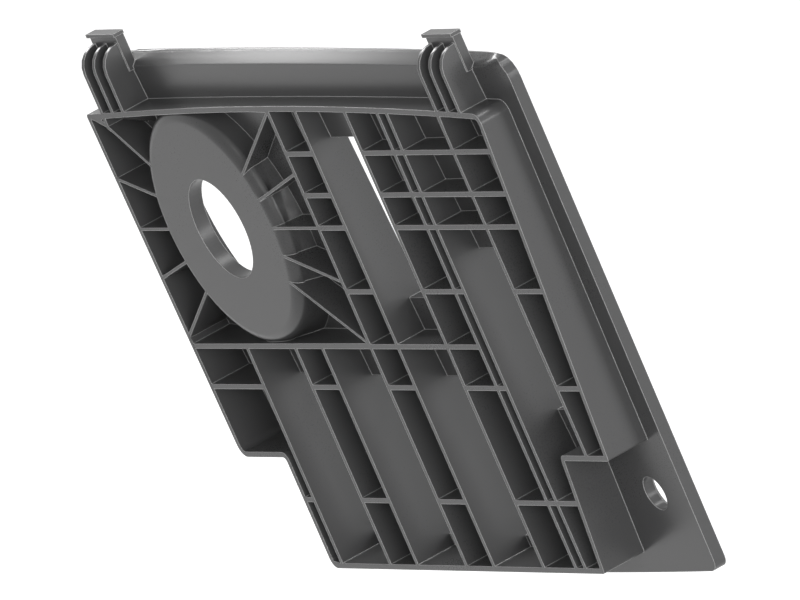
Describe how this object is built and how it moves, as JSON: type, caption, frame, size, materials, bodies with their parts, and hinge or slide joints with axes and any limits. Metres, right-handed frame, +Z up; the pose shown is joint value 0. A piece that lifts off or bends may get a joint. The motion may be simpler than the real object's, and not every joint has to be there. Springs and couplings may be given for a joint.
{
  "type": "switch panel",
  "caption": "Moulded plastic switch panel: curved skin with rocker switch cut-outs and a recessed rotary control bore, backed by a ribbed frame, with finned hooks along its top edge.",
  "frame": {"origin": "axis of the fixing screw hole, halfway along its straight wall in the skin", "axes": "+Z up along the fitted panel, +X across it towards the control recess, +Y from the show face towards the ribbed side"},
  "size_m": [0.1845, 0.0141, 0.1236],
  "materials": {
    "moulded_plastic": "satin, moulded"
  },
  "bodies": {
    "root": {"panel": "moulded_plastic"}
  },
  "joints": []
}
